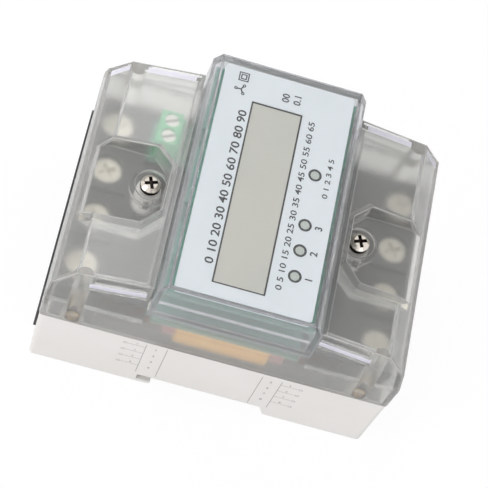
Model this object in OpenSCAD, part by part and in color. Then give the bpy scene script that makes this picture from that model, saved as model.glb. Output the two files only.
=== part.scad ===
// Three-phase energy meter for a 35 mm mounting rail.
// It lies on its back: X runs across the rail, Y along the rail, Z towards the front.
// The origin is on the back plane, in the middle of the case.

/* [Case] */
// Width of the base, across the rail
case_w = 100; // [99:0.5:110]
// Length of the base, along the rail
case_l = 74; // [73.5:0.5:90]
// Height of the white base
base_h = 28; // [27.5:0.5:30]
// Wall of the white base
base_wall = 2; // [1.6:0.1:2.1]
// Radius of the base's upright corners
base_corner = 1.2; // [0.6:0.1:1.6]

/* [Rail seat] */
// Width of the rail that the seat takes
rail_w = 35; // [35:0.1:35.4]
// Room beside the rail in its seat
rail_play = 0.8; // [0.5:0.1:1.2]
// Depth of the rail seat
rail_depth = 4.7; // [4.2:0.1:5.2]
// Plastic above the rail seat
rail_roof = 2.5; // [2:0.1:3]
// Reach of the fixed hook under the rail
hook_reach = 4.2; // [3:0.1:5]
// Thickness of the fixed hook
hook_t = 1.7; // [1.4:0.1:2.2]
// Lean of the seat's plain side
seat_lean = 1.9; // [1:0.1:2.5]

/* [Clear cover] */
// Wall of the clear cover
cover_wall = 1.8; // [1.4:0.1:2]
// How far the cover stands proud of the base at its two long sides
cover_proud = 0.3; // [0:0.1:0.5]
// Height of the cover's upright band above the base
cover_band_h = 10.5; // [9:0.5:12]
// Height of the shoulder above the base
shoulder_h = 17; // [16:0.5:18]
// Lean of the side between band and shoulder
shoulder_in = 0.9; // [0.5:0.1:1.5]
// Height of the bend above the base
bend_h = 24.8; // [24:0.1:25.2]
// Distance from the case's side to the bend
bend_in = 6.6; // [6:0.1:7]
// Height of the wing's inner edge above the base
wing_h = 28.3; // [27.8:0.1:28.8]
// Lean of the wings' end walls at their top
end_in = 3.1; // [2:0.1:3.4]
// Lean of the wings' end walls at the shoulder
shoulder_end_in = 2.5; // [1.5:0.1:2.8]
// Lean of the end walls under the window
seat_in = 0.8; // [0.4:0.1:1]
// Depth of the long recess in each end wall
groove_d = 0.7; // [0.4:0.1:0.9]
// Length of that recess along the wall
groove_l = 14.2; // [10:0.2:14.8]
// Diameter of the corner posts
post_d = 5; // [4.6:0.1:5.4]
// How far the corner posts reach into the base
post_foot = 3; // [2:0.1:3.5]

/* [Screw pockets] */
// Half length of the pocket along the rail
pocket_half = 12; // [11:0.1:13]
// Distance of the pocket's middle from its screw, along the rail
pocket_shift = 3.4; // [2.8:0.1:3.6]
// Cut of the pocket's inner corners
pocket_cut = 5; // [3:0.1:6]
// Height of the pocket's floor above the base
pocket_h = 20.3; // [19.8:0.1:21]
// Diameter of the sunk ring round the screw
sunk_d = 8.8; // [8:0.1:9.6]
// Depth of the sunk ring
sunk_h = 1; // [0.5:0.1:1.2]
// Side of the square hole for the sealing wire
wire_hole = 1.5; // [1:0.1:2]
// Distance of that hole from the screw
wire_hole_off = 6.1; // [5.6:0.1:7]

/* [Window] */
// Width of the window cover at its seat, as a share of the case's width
window_share = 0.452; // [0.446:0.002:0.458]
// Height of the window's top above the base
window_h = 37; // [36.6:0.1:38]
// Height of the top chamfer at the long sides
window_bevel = 3.9; // [3:0.1:4.2]
// Height of the window cover's seat above the base
window_seat_h = 19; // [18:0.1:20]
// Lean of the window's end walls
window_lean = 0.7; // [0.3:0.1:0.9]
// Wall of the window cover
window_wall = 1.6; // [1.4:0.1:1.7]
// How far the window cover stands past the base at its ends
window_over = 0.5; // [0:0.1:1.2]
// Gap between the window cover and the clear cover
window_gap = 0.3; // [0.2:0.05:0.4]
// Height of the thick foot of the window's end walls
foot_h = 6.3; // [2:0.1:8]

/* [Front panel] */
// Gap between the front panel and the window's flat edge
panel_side_gap = 1.5; // [1.2:0.1:2]
// Gap between the front panel and the window's end walls
panel_end_gap = 0.1; // [0.1:0.1:0.6]
// Thickness of the front panel
panel_t = 1.5; // [1.2:0.1:1.6]
// Margin beside the liquid-crystal glass, over both sides
lcd_side_margin = 23.5; // [23.2:0.1:25]
// Margin at the ends of the liquid-crystal glass, over both ends
lcd_end_margin = 14.4; // [13.4:0.2:20]
// Place of the glass's middle across the rail
lcd_x = -2.2; // [-2.6:0.1:-1.8]
// Place of the glass's middle along the rail
lcd_y = -2.9; // [-4:0.1:0]
// Thickness of the liquid-crystal glass
lcd_t = 3; // [2.4:0.1:3.1]
// Rim of the display frame
lcd_rim = 0.4; // [0.35:0.05:0.6]
// Diameter of the lamps
lamp_d = 3; // [2.8:0.1:3.2]
// Distance of the lamps from the panel's edge
lamp_in = 6.9; // [6:0.1:8]
// Places of the three phase lamps and of the pulse lamp along the rail
lamp_y = [-23.3, -15.5, -7.7, 8]; // [-30:0.1:30]

/* [Boards] */
// Thickness of both boards
board_t = 1.6; // [1.2:0.1:1.8]
// Gap round the display board
display_edge_gap = 0.3; // [0.2:0.05:0.5]
// Gap between the display board and the front panel
display_gap = 1.9; // [1.7:0.1:2.1]
// Gap between the main board and the window's seat
main_side_gap = 1.7; // [1.2:0.1:2.4]
// Gap between the main board and the case's ends
main_end_gap = 3; // [2.8:0.1:4]
// Underside of the main board above the base
main_h = 9.4; // [9.2:0.1:10]
// Gap between the pulse connector and the pocket beside it
connector_gap = 3.7; // [2:0.1:4.5]
// Width of the pulse connector
connector_w = 7.2; // [6.6:0.1:8.4]
// Length of the pulse connector
connector_l = 10.2; // [10:0.1:11]
// Height of the pulse connector
connector_h = 9.6; // [8:0.1:10]
// Pitch of its two screws
connector_pitch = 5.08; // [5:0.08:5.08]
// Room beside the film capacitor under the board, over both sides
cap_room = 14.8; // [12.8:0.2:18]
// Length of the film capacitor
cap_l = 17; // [15:0.5:18]
// Height of the film capacitor
cap_h = 9.3; // [8:0.1:9.4]
// Diameter of the storage capacitor
storage_d = 10; // [8:0.5:10]
// Gap between the storage capacitor and the display board
storage_gap = 4.6; // [2:0.2:8]

/* [Terminals] */
// Length at the two ends of the case without terminals
terminal_margin = 14; // [14:0.2:16]
// Distance of the terminal screws from the case's side
term_in = 7.7; // [7.5:0.1:8]
// Height of the wire's axis
wire_z = 24; // [23.8:0.1:24.4]
// Plastic between two terminal cages
cage_gap = 3; // [2.8:0.1:3.4]
// Side wall of a cage
cage_wall = 1.4; // [1.2:0.1:1.6]
// Height of the wire space in a cage
wire_space = 10.8; // [10:0.1:11]
// How much narrower a wire entry is than its cage
entry_in = 2.6; // [2.2:0.1:3]
// Height of a wire entry
entry_h = 9.4; // [9:0.1:9.8]
// Height of the block's face above the wire's axis
face_rise = 6.1; // [5.8:0.1:6.3]
// How far the face stands proud of the case
face_proud = 0.8; // [0.5:0.1:1]
// Lowest level of the left face
face_low = 0.4; // [0.2:0.1:1]
// Thickness of the shelf over the busbars
shelf_t = 1.2; // [1:0.1:1.6]

/* [Current path] */
// How much narrower a busbar is than its cage
bar_in = 4; // [3.6:0.1:5]
// Thickness of a busbar
bar_t = 2; // [1.5:0.1:2.2]
// How much wider a current transformer is than the terminals' pitch
ct_over = 0.6; // [0:0.1:1]
// Bore of a current transformer
ct_bore = 9.6; // [9.4:0.1:10]
// Width of a current transformer along the bar
ct_w = 8; // [6:0.1:8.5]

/* [Rail clips] */
// Width of a clip's plate
clip_w = 13.4; // [12:0.1:14]
// Thickness of a clip
clip_t = 2.9; // [2.6:0.1:3]
// Reach of the clip's nose past the seat's side
clip_nose = 2.2; // [1.8:0.1:2.4]
// Distance of the two clips from the case's ends
clip_in = 19.5; // [18.5:0.1:22]
// Running gap round a clip
clip_play = 0.2; // [0.15:0.01:0.3]
// Travel of a clip
clip_travel = 4.5; // [4:0.1:5]

/* [Fasteners] */
// Diameter of the cover screws' heads
screw_head_d = 5.8; // [5.4:0.1:6]
// Diameter of the screws' shanks
shank_d = 2.9; // [2.7:0.1:3]
// Gap between a shank and its hole
shank_gap = 0.05; // [0.04:0.01:0.1]

/* [Hidden] */
terminals = 4;

$fn = 48;
eps = 0.01;
half_w = case_w / 2;
half_l = case_l / 2;
LEFT = -1;
RIGHT = 1;
NEAR = -1;
FAR = 1;

// levels
clip_channel = clip_t + 2 * clip_play;
side_floor = clip_channel + 2.3;
mid_floor = rail_depth + rail_roof;
mid_half = rail_w / 2 + 4.5;
z_seat = base_h + window_seat_h;
z_pocket = base_h + pocket_h;
z_wing = base_h + wing_h;
z_window = base_h + window_h;
seat_half = rail_w / 2 + rail_play;
clip_y = half_l - clip_in;

// widths of the window cover
window_foot = window_share * half_w;
window_half = window_foot - 0.3;
window_flat = window_half - 2.2;
wing_slope = (wing_h - bend_h) / (half_w - bend_in - window_foot);

// terminals
pitch = (case_l - terminal_margin) / terminals;
term_x = half_w - term_in;
cage_w = pitch - cage_gap;
entry_w = cage_w - entry_in;
term_head_d = cage_w - 4;
cage_bottom = 2;
cage_top = 2.6;
cage_low = wire_z - wire_space / 2 - cage_bottom;
cage_high = wire_z + wire_space / 2 + cage_top;
cage_out = half_w - base_wall - 1.5;
cage_l = 2 * (cage_out - term_x);
cage_play = 0.1;
deck_z = cage_high + 4.5;
block_wall = 1.3;
block_in = cage_out - cage_l - 3.4;
block_out = half_w - base_wall - 0.2;
block_half = (terminals - 1) / 2 * pitch + cage_w / 2 + block_wall;
face_out = half_w + face_proud;
face_high = wire_z + face_rise;
face_half = block_half - 1.2;
slot_play = 0.2;
term_y = [for (i = [0 : terminals - 1]) (i - (terminals - 1) / 2) * pitch];
bar_z = wire_z - wire_space / 2 + 0.1;
bar_half = term_x + 1.8;
bar_w = cage_w - bar_in;
ct_d = pitch + ct_over;
ct_z = bar_z + bar_t / 2;
ct_x = [9, -9, 9];

// corner fasteners
corner_x = half_w - 8.8;
corner_y = half_l - 3.5;
corner_boss_d = 7;
case_head_d = 5;
case_head_h = 2;
insert_d = 3.9;
insert_l = 5;
insert_low = base_h - post_foot;
screw_sink = 5;
case_sink = insert_low - screw_sink;

// cover screws
screw_x = window_foot + 7.5;
pocket_x = screw_x - 4.2;
pillar_d = 7;
pillar_play = 0.3;
pillar_top = z_pocket - sunk_h - cover_wall - 1.2;
screw_head_h = 2.3;
screw_bite = 11.5;

// window and panel
window_inner_top = z_window - window_wall;
panel_top = window_inner_top - 0.2;
panel_low = panel_top - panel_t;
display_top = panel_low - display_gap;
display_low = display_top - board_t;
main_low = base_h + main_h;
main_top = main_low + board_t;
main_half_w = window_foot - main_side_gap;
main_half_l = half_l - main_end_gap;
shelf_in = main_half_w - 0.1;
window_end = half_l + window_over - window_lean - window_wall;
panel_half_w = window_flat - panel_side_gap;
panel_half_l = window_end - panel_end_gap;
display_half_w = window_half - window_wall - display_edge_gap;
display_half_l = window_end + 0.15 - display_edge_gap / 2;
lcd_w = 2 * panel_half_w - lcd_side_margin;
lcd_l = 2 * panel_half_l - lcd_end_margin;
lamp_x = panel_half_w - lamp_in;
cap_w = 2 * main_half_w - cap_room;
storage_h = display_low - main_top - storage_gap;
lug_h = 1.4;

// a rectangle about the origin with round corners
module round_rect(w, l, r) {
  square([w - 2 * r, l], center = true);
  square([w, l - 2 * r], center = true);
  for (x = [-1, 1], y = [-1, 1])
    translate([x * (w / 2 - r), y * (l / 2 - r)]) circle(r);
}

// a block given by its lowest and highest corners
module box(low, high) {
  translate(low) cube(high - low);
}

// the same block on the right (side 1) or mirrored to the left (side -1)
module side_box(side, low, high) {
  if (side == RIGHT) box(low, high);
  else mirror([1, 0, 0]) box(low, high);
}

// an outline in X and Z, carried along Y over the given half length
module along_y(half) {
  rotate([90, 0, 0]) linear_extrude(2 * half, center = true) children();
}

// an outline in Y and Z, carried along X over the given half width
module along_x(half) {
  rotate([90, 0, 90]) linear_extrude(2 * half, center = true) children();
}

// both halves of an outline that is given for the positive side only
function both_sides(half) = concat(half, [for (i = [len(half) - 1 : -1 : 0]) [-half[i][0], half[i][1]]]);

// Base

module base_outline() {
  hook_tip = hook_reach - seat_half;
  polygon([
    [-half_w, 0], [hook_tip - 1, 0], [hook_tip - 0.3, 0.3], [hook_tip, 1], [hook_tip, hook_t], [-seat_half, hook_t], [-seat_half, rail_depth],
    [seat_half, rail_depth], [seat_half + seat_lean, 0], [half_w, 0], [half_w, base_h], [-half_w, base_h]
  ]);
}

module clip_channel_cut() {
  low_w = clip_w + 2 * clip_play;
  high_w = clip_w + 1.6 + 2 * clip_play;
  box([rail_w / 2 - 1, -low_w / 2, -eps], [half_w + eps, low_w / 2, clip_channel / 2]);
  box([rail_w / 2 - 1, -high_w / 2, clip_channel / 2 - eps], [half_w + eps, high_w / 2, clip_channel]);
}

module base_hollow() {
  inner_w = half_w - base_wall;
  inner_l = half_l - base_wall;
  box([-mid_half, -inner_l, mid_floor], [mid_half, inner_l, base_h + eps]);
  for (side = [LEFT, RIGHT])
    side_box(side, [mid_half - eps, -inner_l, side_floor], [inner_w, inner_l, base_h + eps]);
}

// openings in the long sides for the faces of the terminal blocks
module base_slots() {
  for (side = [LEFT, RIGHT])
    side_box(side, [half_w - base_wall - eps, -face_half - slot_play, side_floor],
             [half_w + eps, face_half + slot_play, base_h + eps]);
}

module corner_boss(x, y) {
  translate([x, y, side_floor - eps]) cylinder(d = corner_boss_d, h = base_h - post_foot - side_floor + eps);
}

// pillars that carry the main board
module board_pillars() {
  for (x = [-1, 1], y = [-main_half_l + 20, main_half_l - 3])
    translate([x * (main_half_w - 3), y, mid_floor - eps]) cylinder(d = 5, h = main_low - mid_floor + eps);
}

// saddles under the current transformers
module transformer_saddles() {
  saddle_w = 9;
  for (i = [0 : terminals - 2])
    difference() {
      box([ct_x[i] - ct_w / 2 + 1, term_y[i] - saddle_w / 2, mid_floor - eps],
          [ct_x[i] + ct_w / 2 - 1, term_y[i] + saddle_w / 2, ct_z - ct_d / 2 + 1.2]);
      translate([ct_x[i], term_y[i], ct_z]) rotate([0, 90, 0])
        cylinder(d = ct_d + 0.1, h = 2 * ct_w, center = true);
    }
}

module base_housing() {
  color([0.90, 0.88, 0.87]) difference() {
    union() {
      difference() {
        intersection() {
          along_y(half_l) base_outline();
          linear_extrude(base_h) round_rect(case_w, case_l, base_corner);
        }
        base_hollow();
        base_slots();
      }
      for (x = [-1, 1], y = [-1, 1]) corner_boss(x * corner_x, y * corner_y);
      for (side = [LEFT, RIGHT])
        translate([side * screw_x, 0, side_floor - eps]) cylinder(d = pillar_d, h = pillar_top - side_floor);
      board_pillars();
      transformer_saddles();
    }
    for (y = [-clip_y, clip_y]) translate([0, y, 0]) clip_channel_cut();
    for (x = [-1, 1], y = [-1, 1]) translate([x * corner_x, y * corner_y, 0]) {
      translate([0, 0, -eps]) cylinder(d = case_head_d + 0.4, h = case_sink + eps);
      cylinder(d = shank_d + 0.5, h = base_h + 1);
      translate([0, 0, base_h - post_foot]) cylinder(d = post_d + 0.2, h = post_foot + 1);
    }
    for (side = [LEFT, RIGHT])
      translate([side * screw_x, 0, pillar_top - screw_bite - 0.5])
        cylinder(d = shank_d + 2 * shank_gap, h = screw_bite + 1);
  }
}

// Clear cover

function cover_half_outline(t) = [
  [half_w + cover_proud - t, base_h],
  [half_w + cover_proud - t, base_h + cover_band_h - t * 0.1],
  [half_w + cover_proud - shoulder_in - t, base_h + shoulder_h - t * 0.4],
  [half_w - bend_in - t * 0.5, base_h + bend_h - t * 0.95],
  [window_foot, z_wing - t]
];

// end walls of the two wings
function wing_half_ends(t) = [
  [half_l - t, base_h],
  [half_l - 0.2 - t, base_h + cover_band_h],
  [half_l - shoulder_end_in - t, base_h + shoulder_h],
  [half_l - end_in - t, base_h + bend_h],
  [half_l - end_in - t, z_wing + 1]
];

// end walls under the window, which stand proud of the wings
function seat_half_ends(t) = [
  [half_l - t, base_h],
  [half_l - 0.2 - t, base_h + cover_band_h],
  [half_l - seat_in - t, z_seat],
  [half_l - seat_in - t, z_wing + 1]
];

module cover_form(t) {
  intersection() {
    along_y(half_l + 1) polygon(both_sides(cover_half_outline(t)));
    union() {
      along_x(half_w + 1) polygon(both_sides(wing_half_ends(t)));
      along_x(window_foot + window_gap - t) polygon(both_sides(seat_half_ends(t)));
    }
    if (t == 0)
      translate([0, 0, base_h]) linear_extrude(wing_h + 1)
        round_rect(case_w + 2 * cover_proud, case_l, base_corner);
  }
}

// outline of a screw pocket, widened by t; it reaches further on the sealing hole's side
module pocket_outline(t) {
  far_x = half_w + 2;
  c = pocket_cut + t * 0.4;
  x0 = pocket_x - t;
  y1 = pocket_half + t;
  cut_x = half_w - bend_in;
  y2 = y1 - 0.4 * (far_x - cut_x);
  translate([0, -pocket_shift]) polygon([
    [x0, -y1 + c], [x0 + c, -y1], [cut_x, -y1], [far_x, -y2], [far_x, y2], [cut_x, y1], [x0 + c, y1], [x0, y1 - c]
  ]);
}

module pocket_bodies() {
  for (side = [LEFT, RIGHT]) mirror([side == LEFT ? 1 : 0, 0, 0]) {
    translate([0, 0, z_pocket - cover_wall]) linear_extrude(z_wing) pocket_outline(cover_wall * 0.8);
    translate([screw_x, 0, pillar_top])
      cylinder(d = sunk_d + 2.4, h = z_pocket - pillar_top - 1);
  }
}

module pocket_cuts() {
  pad_rim = 0.9;
  pad_h = 0.5;
  for (side = [LEFT, RIGHT]) mirror([side == LEFT ? 1 : 0, 0, 0]) {
    translate([0, 0, z_pocket]) linear_extrude(z_wing) pocket_outline(0);
    translate([screw_x, 0, z_pocket - sunk_h]) cylinder(d = sunk_d, h = sunk_h + 2);
    translate([screw_x, 0, pillar_top - 1]) cylinder(d = shank_d + 0.5, h = z_wing);
    box([screw_x - wire_hole / 2, -wire_hole_off - wire_hole / 2, z_pocket - 2 * cover_wall],
        [screw_x + wire_hole / 2, -wire_hole_off + wire_hole / 2, z_pocket + 1]);
    // sunk pad round that hole, joined to the sunk ring
    box([screw_x - wire_hole / 2 - pad_rim, -wire_hole_off - wire_hole / 2 - pad_rim, z_pocket - pad_h],
        [screw_x + wire_hole / 2 + pad_rim, -sunk_d / 2 + pad_rim, z_pocket + 1]);
  }
}

// upright flanges beside the window's opening
module window_flanges() {
  for (side = [LEFT, RIGHT])
    side_box(side, [window_foot + window_gap, -half_l, z_seat],
             [window_foot + window_gap + 1.5, half_l, z_wing + 1]);
}

// a band that runs down along the end wall with the wing's slope
module sloped_band(low, high, length) {
  start = window_foot + 1.2;
  drop = wing_slope * length;
  along_y(half_l + 1)
    polygon([[start, low], [start, high], [start + length, high - drop], [start + length, low - drop]]);
}

// two long recesses in each end wall, one above the other
module end_grooves() {
  for (side = [LEFT, RIGHT]) mirror([side == LEFT ? 1 : 0, 0, 0]) difference() {
    union() {
      sloped_band(z_seat + 5.2, z_wing - 1, groove_l);
      sloped_band(z_seat + 1.2, z_seat + 4.4, groove_l + 1.4);
    }
    along_x(half_w) polygon(both_sides(wing_half_ends(groove_d)));
  }
}

module face_openings() {
  for (side = [LEFT, RIGHT])
    side_box(side, [half_w - base_wall - 1, -face_half - slot_play, base_h - 1],
             [half_w + 2, face_half + slot_play, face_high + slot_play]);
}

module corner_posts(low, high) {
  for (x = [-1, 1], y = [-1, 1])
    translate([x * corner_x, y * corner_y, low]) cylinder(d = post_d, h = high - low);
}

module clear_cover() {
  color([0.80, 0.80, 0.82, 0.35]) difference() {
    union() {
      difference() {
        cover_form(0);
        cover_form(cover_wall);
      }
      intersection() {
        union() {
          pocket_bodies();
          window_flanges();
          corner_posts(base_h, z_wing);
        }
        cover_form(0.2);
      }
      corner_posts(insert_low, base_h + 1);
    }
    pocket_cuts();
    face_openings();
    end_grooves();
    box([-window_foot - window_gap, -half_l - 1, z_seat], [window_foot + window_gap, half_l + 1, z_wing + 2]);
    for (x = [-1, 1], y = [-1, 1]) translate([x * corner_x, y * corner_y, insert_low - 1])
      cylinder(d = insert_d, h = insert_l + 1);
  }
}

// Window cover

function window_half_outline(t) = [
  [window_foot - t, z_seat],
  [window_half - t, z_window - window_bevel - t * 0.4],
  [window_flat - t * 0.45, z_window - t]
];

module window_form(t, drop) {
  end = half_l + window_over - t;
  top = end - window_lean;
  ease = t == 0 ? 0.5 : 0;
  intersection() {
    translate([0, 0, -drop]) along_y(half_l + 3) polygon(both_sides(window_half_outline(t)));
    along_x(half_w) polygon([
      [-end, z_seat - 1], [end, z_seat - 1], [end, z_seat + 1], [top, z_window - ease],
      [top - ease, z_window + eps], [ease - top, z_window + eps], [-top, z_window - ease], [-end, z_seat + 1]
    ]);
  }
}

// inner lugs under the display board
module board_lugs() {
  lug_l = 5;
  for (side = [LEFT, RIGHT], y = [-1, 0, 1] * 0.68 * display_half_l)
    side_box(side, [display_half_w - 1, y - lug_l / 2, display_low - lug_h],
             [window_half - window_wall / 2, y + lug_l / 2, display_low]);
}

// thicker foot of the end walls, which stands on the clear cover
module window_feet() {
  for (end = [NEAR, FAR]) mirror([0, end == NEAR ? 1 : 0, 0])
    box([-window_foot + window_wall / 2, half_l - seat_in - cover_wall + 0.4, z_seat],
        [window_foot - window_wall / 2, half_l + window_over - 1, z_seat + foot_h]);
}

module window_cover() {
  color([0.82, 0.83, 0.85, 0.3]) union() {
    difference() {
      window_form(0, 0);
      difference() {
        window_form(window_wall, 0);
        box([-half_w, -half_l, window_inner_top], [half_w, half_l, z_window + 1]);
      }
      box([-window_foot + window_wall, -half_l - window_over + window_wall, z_seat - 1],
          [window_foot - window_wall, half_l + window_over - window_wall, z_seat + 1]);
    }
    board_lugs();
    window_feet();
  }
}

// Front panel, display and lamps

module front_panel() {
  rim_in = 1.2;
  rim_t = 1.2;
  color([0.84, 0.87, 0.89]) difference() {
    union() {
      translate([0, 0, panel_low]) linear_extrude(panel_t)
        round_rect(2 * panel_half_w, 2 * panel_half_l, 1);
      translate([0, 0, display_top]) linear_extrude(display_gap + eps) difference() {
        round_rect(2 * (panel_half_w - rim_in), 2 * (panel_half_l - rim_in), 0.8);
        round_rect(2 * (panel_half_w - rim_in - rim_t), 2 * (panel_half_l - rim_in - rim_t), 0.8);
      }
    }
    translate([lcd_x, lcd_y, panel_low - 1]) linear_extrude(panel_t + 2)
      square([lcd_w + 2 * lcd_rim + 0.1, lcd_l + 2 * lcd_rim + 0.1], center = true);
    for (y = lamp_y) translate([lamp_x, y, panel_low - 1]) cylinder(d = lamp_d + 0.1, h = panel_t + 2);
  }
}

module lcd_glass() {
  color([0.74, 0.74, 0.70]) translate([lcd_x, lcd_y, display_top + 0.2])
    linear_extrude(lcd_t) square([lcd_w - 0.1, lcd_l - 0.1], center = true);
}

module lcd_frame() {
  color([0.12, 0.12, 0.13]) translate([lcd_x, lcd_y, display_top])
    difference() {
      linear_extrude(panel_top - display_top - 0.1)
        square([lcd_w + 2 * lcd_rim, lcd_l + 2 * lcd_rim], center = true);
      translate([0, 0, 0.2]) linear_extrude(display_gap + panel_t)
        square([lcd_w, lcd_l], center = true);
    }
}

module display_board() {
  notch_l = 6;
  color([0.10, 0.38, 0.30]) translate([0, 0, display_low]) linear_extrude(board_t) difference() {
    square([2 * display_half_w, 2 * display_half_l], center = true);
    for (x = [-1, 1], y = [-1, 1])
      translate([x * display_half_w, y * display_half_l / 3]) square([1.6, notch_l], center = true);
  }
}

module lamp(i) {
  flange_h = 0.8;
  edge = 0.3;
  body_h = display_gap + panel_t - edge;
  translate([lamp_x, lamp_y[i], display_top]) {
    cylinder(d = lamp_d + 0.6, h = flange_h);
    cylinder(d = lamp_d, h = body_h);
    translate([0, 0, body_h]) cylinder(d1 = lamp_d, d2 = lamp_d - 2 * edge, h = edge);
  }
}

module lamp_phase_1() { color([0.70, 0.76, 0.72]) lamp(0); }
module lamp_phase_2() { color([0.70, 0.76, 0.72]) lamp(1); }
module lamp_phase_3() { color([0.70, 0.76, 0.72]) lamp(2); }
module lamp_pulse() { color([0.70, 0.76, 0.72]) lamp(3); }

// Main board and what it carries

connector_x = -window_foot - window_gap - 1.7 - connector_w / 2;
connector_y = pocket_half - pocket_shift + 0.8 * cover_wall + connector_gap + connector_l / 2;
ear_out = connector_w / 2 + 0.9 - connector_x;
ear_low = connector_y - connector_l / 2 - 1;
ear_high = connector_y + connector_l / 2 + 1;

module main_board() {
  color([0.10, 0.40, 0.28]) translate([0, 0, main_low]) linear_extrude(board_t) union() {
    square([2 * main_half_w, 2 * main_half_l], center = true);
    translate([-ear_out, ear_low]) square([ear_out - main_half_w + 1, ear_high - ear_low]);
  }
}

module board_link() {
  pins = 10;
  pin_pitch = 2.54;
  pin = 0.64;
  strip_h = 2.5;
  x = -main_half_w + 4;
  length = pins * pin_pitch;
  color([0.13, 0.13, 0.14]) {
    for (z = [main_top, display_low - strip_h])
      box([x - 1.27, -length / 2, z], [x + 1.27, length / 2, z + strip_h]);
    for (i = [0 : pins - 1])
      box([x - pin / 2, (i - (pins - 1) / 2) * pin_pitch - pin / 2, main_top + eps],
          [x + pin / 2, (i - (pins - 1) / 2) * pin_pitch + pin / 2, display_low - eps]);
  }
}

module metering_chip() {
  body = 9;
  leads = 8;
  lead_pitch = 0.8;
  color([0.15, 0.15, 0.16]) translate([2, -10, main_top]) {
    translate([0, 0, 0.2]) linear_extrude(1.5) square(body, center = true);
    for (turn = [0, 90, 180, 270], i = [0 : leads - 1])
      rotate([0, 0, turn]) translate([(i - (leads - 1) / 2) * lead_pitch, body / 2, 0])
        box([-0.18, -0.4, 0], [0.18, 1.1, 0.35]);
  }
}

cap_x = 0.5;

module film_capacitor() {
  color([0.88, 0.66, 0.30])
    translate([cap_x, -main_half_l + 0.5 + cap_l / 2, main_low - cap_h])
      linear_extrude(cap_h) round_rect(cap_w, cap_l, 0.8);
}

module storage_capacitor() {
  color([0.16, 0.18, 0.24]) translate([10, 12, main_top]) difference() {
    cylinder(d = storage_d, h = storage_h);
    translate([0, 0, 1.6]) rotate_extrude() translate([storage_d / 2 + 0.2, 0]) circle(d = 1.2, $fn = 24);
  }
}

module varistor(side) {
  d = 9;
  t = 3.4;
  translate([cap_x + side * (cap_w / 2 + 0.3 + t / 2), -main_half_l + 0.6 + d / 2, main_low - d / 2])
    rotate([0, 90, 0]) cylinder(d = d, h = t, center = true);
}

module varistor_left() { color([0.66, 0.34, 0.34]) varistor(LEFT); }
module varistor_right() { color([0.66, 0.34, 0.34]) varistor(RIGHT); }

module pulse_connector() {
  well_d = 4.4;
  color([0.35, 0.66, 0.46]) translate([connector_x, connector_y, main_top]) difference() {
    union() {
      box([-connector_w / 2, -connector_l / 2, 0], [connector_w / 2 - 1, connector_l / 2, connector_h]);
      box([-connector_w / 2, -connector_l / 2, 0], [connector_w / 2, connector_l / 2, connector_h - 2.4]);
    }
    for (side = [-1, 1]) translate([-0.3, side * connector_pitch / 2, 0]) {
      translate([0, 0, connector_h - 2.6]) cylinder(d = well_d, h = 3);
      box([-connector_w, -1.7, 1.6], [1, 1.7, 5]);
    }
  }
}

module pulse_connector_screws() {
  head_d = 4;
  color([0.82, 0.82, 0.80])
    for (side = [-1, 1])
      translate([connector_x - 0.3, connector_y + side * connector_pitch / 2, main_top + connector_h - 2.5])
        difference() {
          cylinder(d = head_d, h = 1.9);
          rotate([0, 0, 25]) box([-3, -0.35, 1], [3, 0.35, 3]);
        }
}

// Terminals

module terminal_block(side) {
  mirror([side == LEFT ? 1 : 0, 0, 0]) difference() {
    union() {
      box([block_in, -block_half, side_floor], [block_out, block_half, deck_z]);
      // face in the opening of the case; on the left it hangs down outside the wall
      box([block_out - 1, -face_half, side_floor], [half_w + face_proud / 2, face_half, face_high]);
      box([half_w, -face_half, side == LEFT ? face_low : side_floor], [face_out, face_half, face_high]);
      // shelf over the busbars
      box([shelf_in, -block_half, deck_z - shelf_t], [block_in + 1, block_half, deck_z]);
    }
    for (y = term_y) {
      // room for the cage, open towards the middle
      box([block_in - 1, y - cage_w / 2 - cage_play, cage_low - cage_play],
          [cage_out + cage_play, y + cage_w / 2 + cage_play, cage_high + cage_play]);
      // wire entry
      box([cage_out - 1, y - entry_w / 2, wire_z - entry_h / 2 + 0.5],
          [face_out + 1, y + entry_w / 2, wire_z + entry_h / 2]);
      // screwdriver well
      translate([term_x, y, cage_high - 1]) cylinder(d = term_head_d + 0.8, h = deck_z);
      // notch in the lower edge of the left face
      if (side == LEFT) box([half_w - 1, y - 1.3, -1], [face_out + 1, y + 1.3, face_low + 1.6]);
    }
    // room for the cover screw's pillar
    translate([screw_x, 0, side_floor - 1]) cylinder(d = pillar_d + 2 * pillar_play, h = deck_z);
    // steps between the terminals on the deck
    for (i = [0 : terminals - 2])
      box([block_in + 1, term_y[i] + pitch / 2 - 0.8, deck_z - 1.6],
          [block_out + 1, term_y[i] + pitch / 2 + 0.8, deck_z + 1]);
  }
}

module terminal_block_left() { color([0.20, 0.20, 0.21]) terminal_block(LEFT); }
module terminal_block_right() { color([0.20, 0.20, 0.21]) terminal_block(RIGHT); }

module cage(side, i) {
  y = term_y[i];
  color([0.72, 0.70, 0.62]) mirror([side == LEFT ? 1 : 0, 0, 0]) difference() {
    box([cage_out - cage_l, y - cage_w / 2, cage_low], [cage_out, y + cage_w / 2, cage_high]);
    box([0, y - cage_w / 2 + cage_wall, cage_low + cage_bottom],
        [half_w, y + cage_w / 2 - cage_wall, cage_high - cage_top]);
    translate([term_x, y, cage_high - cage_top - 1]) cylinder(d = term_head_d - 2.9, h = cage_top + 2);
  }
}

module cage_left_1() { cage(LEFT, 0); }
module cage_left_2() { cage(LEFT, 1); }
module cage_left_3() { cage(LEFT, 2); }
module cage_left_4() { cage(LEFT, 3); }
module cage_right_1() { cage(RIGHT, 0); }
module cage_right_2() { cage(RIGHT, 1); }
module cage_right_3() { cage(RIGHT, 2); }
module cage_right_4() { cage(RIGHT, 3); }

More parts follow.
